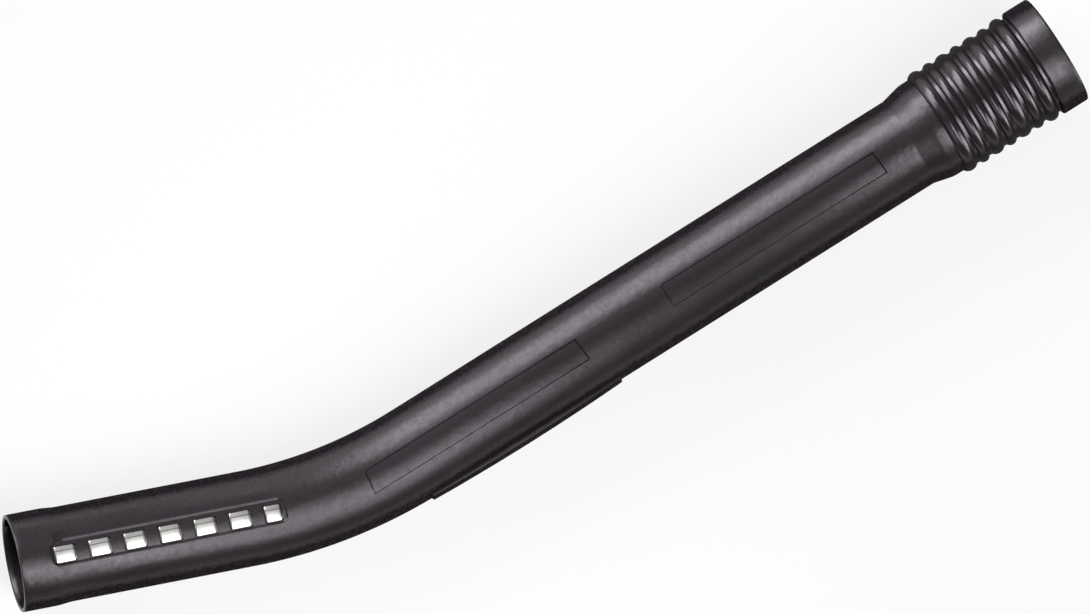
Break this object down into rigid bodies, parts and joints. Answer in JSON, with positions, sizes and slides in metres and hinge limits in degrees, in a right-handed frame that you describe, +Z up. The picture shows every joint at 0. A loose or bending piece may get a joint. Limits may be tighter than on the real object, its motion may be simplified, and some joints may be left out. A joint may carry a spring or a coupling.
{
  "type": "bent vacuum tube",
  "caption": "Conductive bent hand tube for a vacuum cleaner: open spigot with a steel contact strip, gentle bend, long grip with shallow panels and a ribbed hose cuff.",
  "frame": {"origin": "floor point under the middle of the bounding box, with the tube lying on its side", "axes": "+X along the grip towards the hose cuff, +Y to the inside of the bend, +Z up, towards the contacts and panels"},
  "size_m": [0.4303, 0.0826, 0.0432],
  "materials": {
    "conductive_plastic": "satin, fine grain",
    "contact_steel": "bright rolled sheet"
  },
  "bodies": {
    "root": {"tube_body": "conductive_plastic", "contact_strip": "contact_steel"}
  },
  "joints": []
}
